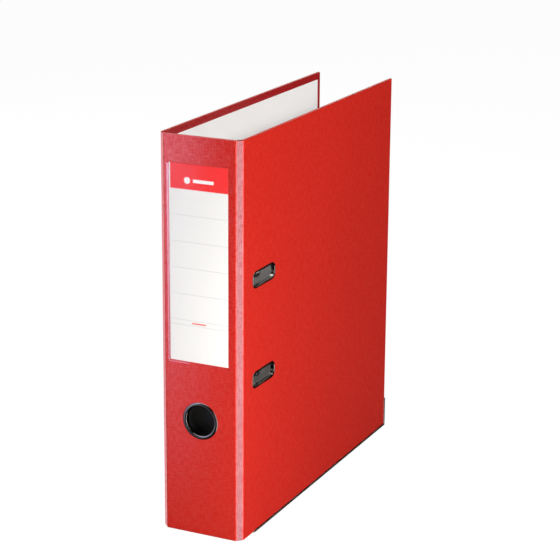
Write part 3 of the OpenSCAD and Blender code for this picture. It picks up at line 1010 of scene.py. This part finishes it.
def card_at(name, middle, target, size, strength, colour=(1, 1, 1), fade=NO_FADE):
    """A bright card that only gloss mirrors, turned to face the target."""
    turn = (Vector(target) - Vector(middle)).to_track_quat("Z", "Y").to_matrix().to_4x4()
    turn = Matrix.Translation(middle) @ turn
    half_w, half_h = size[0] / 2, size[1] / 2
    corners = [(-half_w, -half_h), (half_w, -half_h), (half_w, half_h), (-half_w, half_h)]
    places = [turn @ Vector((x, y, 0)) for x, y in corners]
    piece = stage_sheet(name, places, glowing(name, strength, colour, fade))
    piece.visible_camera = False
    piece.visible_diffuse = False
    piece.visible_shadow = False
    piece.visible_transmission = False


def floor():
    """Pale floor, mostly its own even white to the camera, so that shadows stay faint."""
    m = Nodes("floor", Roughness=0.9, Specular_IOR_Level=0.0)
    mottle = m.noise(m.stretched((3, 3, 3)), detail=2)
    m.set("Base Color", m.mix(mottle, rgb(0.78, 0.78, 0.78), rgb(0.80, 0.80, 0.80)))
    seen = m.add("ShaderNodeLightPath").outputs["Is Camera Ray"]
    white = m.add("ShaderNodeEmission")
    white.inputs["Strength"].default_value = FLOOR_GLOW
    mixed = m.add("ShaderNodeMixShader")
    m.feed(m.math("MULTIPLY", seen, FLOOR_WHITE), mixed.inputs[0])
    m.feed(m.shader.outputs[0], mixed.inputs[1])
    m.feed(white.outputs[0], mixed.inputs[2])
    m.feed(mixed.outputs[0], m.tree.nodes["Material Output"].inputs["Surface"])
    signs = ((-1, -1), (1, -1), (1, 1), (-1, 1))
    corners = [(FLOOR_REACH * sx, FLOOR_REACH * sy, 0) for sx, sy in signs]
    piece = stage_sheet("floor", corners, m.material)
    piece.visible_glossy = False


def surroundings():
    """White behind everything, a weaker even light, and a dark room for gloss to mirror."""
    world = bpy.data.worlds.new("world")
    bpy.context.scene.world = world
    world.use_nodes = True
    tree = world.node_tree
    behind = tree.nodes["Background"]
    behind.inputs["Color"].default_value = (1, 1, 1, 1)
    path = tree.nodes.new("ShaderNodeLightPath")
    rays = (("Is Camera Ray", SEEN_WHITE - AMBIENT), ("Is Glossy Ray", MIRRORED - AMBIENT))
    level = AMBIENT
    for ray, more in rays:
        add = tree.nodes.new("ShaderNodeMath")
        add.operation = "MULTIPLY_ADD"
        tree.links.new(path.outputs[ray], add.inputs[0])
        add.inputs[1].default_value = more
        if isinstance(level, float):
            add.inputs[2].default_value = level
        else:
            tree.links.new(level, add.inputs[2])
        level = add.outputs[0]
    tree.links.new(level, behind.inputs["Strength"])


def light():
    softbox("key", (0.35, -0.42, 0.05), (0.02, -0.10, 0.12), 0.25, 2.9)
    softbox("front", (-0.35, -1.5, 0.7), (0, -0.14, 0.16), 0.9, 9)
    softbox("side", (0.85, -0.05, 0.85), (-0.03, 0.0, 0.3), 0.5, 9.4)
    softbox("back_fill", (-1.2, 0.5, 0.8), (-0.03, 0, 0.16), 0.8, 9)
    card_at(
        "right_card", (0.80, -0.50, 0.0), (0.03, -0.14, 0.16), (0.34, 1.6), 10.0, (0.97, 0.93, 1.0)
    )
    card_at(
        "left_card", (-0.18, -0.264, 0.2), (-0.18, -0.144, 0.2), (0.23, 0.7), 5.0,
        (0.68, 0.71, 1.0), (-0.05, 0.27),
    )
    card_at(
        "far_left_card", (-0.9, 0.35, 0.0), (-0.03, -0.14, 0.1), (0.7, 1.6), 3.0, (1.0, 0.78, 0.84)
    )
    card_at(
        "wire_card", (-0.07, 0.75, 0.69), (0.03, -0.108, 0.207), (0.24, 0.4), 3.0, (1.0, 0.93, 0.82)
    )
    card_at("top_card", (-0.3, -0.2, 1.4), (0, 0, 0.3), (1.4, 1.2), 6.0)


camera()
surroundings()
floor()
light()
bpy.context.scene.view_settings.view_transform = "Standard"
